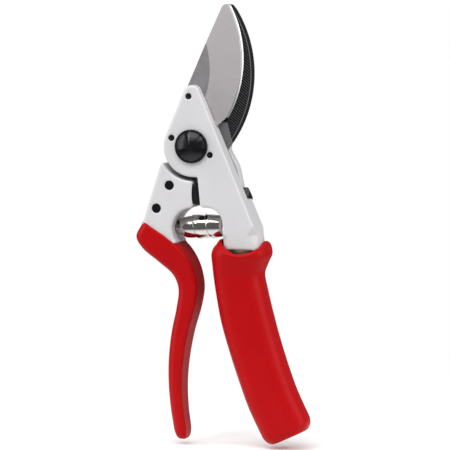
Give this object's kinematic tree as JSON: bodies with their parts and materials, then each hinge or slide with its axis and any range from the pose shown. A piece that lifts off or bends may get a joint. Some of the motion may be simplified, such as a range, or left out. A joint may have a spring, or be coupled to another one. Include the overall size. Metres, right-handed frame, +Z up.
{
  "type": "bypass pruner",
  "caption": "One-hand bypass pruner with a curved blade, black hooked counter-blade, volute return spring, thumb latch and a revolving finger grip.",
  "frame": {"origin": "centre of the pivot nut and bolt end at the tool's back, on the axis that the jaws turn about", "axes": "+Z up along the tool towards the blade tip, +X towards the hooked counter-blade and the revolving grip, +Y out of the back along the pivot axis"},
  "size_m": [0.0846, 0.0278, 0.2106],
  "materials": {
    "light_paint": "satin light silver-white powder coat",
    "blade_steel": "ground across the blade, polished bevel",
    "hook_coating": "matt black coating with fine cut ribs",
    "black_steel": "glossy black oxide",
    "plated_steel": "zinc plated",
    "seat_steel": "dark steel",
    "spring_chrome": "polished nickel plate",
    "red_vinyl": "dipped vinyl, soft sheen",
    "bronze": "turned bronze",
    "bumper_rubber": "moulded black rubber",
    "latch_steel": "stamped steel",
    "black_plastic": "moulded ridges",
    "bare_aluminium": "as forged"
  },
  "bodies": {
    "thumb_side": {"thumb_handle_forging": "light_paint", "counter_blade": "hook_coating", "hook_rivets": "black_steel", "stop_bumper": "bumper_rubber", "thumb_side_spring_seat": "seat_steel", "pivot_bolt": "black_steel", "pivot_nut": "plated_steel", "nut_lock_segment": "plated_steel", "segment_screw": "plated_steel", "thumb_grip_sleeve": "red_vinyl"},
    "blade_side": {"finger_handle_forging": "light_paint", "cutting_blade": "blade_steel", "blade_pins": "black_steel", "pivot_bush": "bronze", "return_spring": "spring_chrome", "blade_side_spring_seat": "seat_steel", "spindle_bolt": "plated_steel", "thrust_washer": "bronze", "spindle_end_washer": "plated_steel", "latch_wave_washer": "plated_steel", "latch_screw": "plated_steel"},
    "revolving_grip": {"rotating_grip_core": "bare_aluminium", "rotating_grip_sleeve": "red_vinyl", "upper_spindle_bush": "bronze", "lower_spindle_bush": "bronze"},
    "latch": {"thumb_latch": "latch_steel", "latch_pad": "black_plastic"}
  },
  "joints": [
    {"name": "jaw_pivot", "type": "hinge", "parent": "thumb_side", "child": "blade_side", "pos_m": [0, 0, 0], "axis": [0, -1, 0], "range_deg": [0, 30], "deforming": ["return_spring"]},
    {"name": "grip_spin", "type": "hinge", "parent": "blade_side", "child": "revolving_grip", "pos_m": [0.0236, -0.0143, -0.049], "axis": [0.1392, 0, -0.9903], "continuous": true},
    {"name": "latch_swing", "type": "hinge", "parent": "blade_side", "child": "latch", "pos_m": [0.0215, -0.004, -0.038], "axis": [0, -1, 0], "range_deg": [0, 11]}
  ]
}
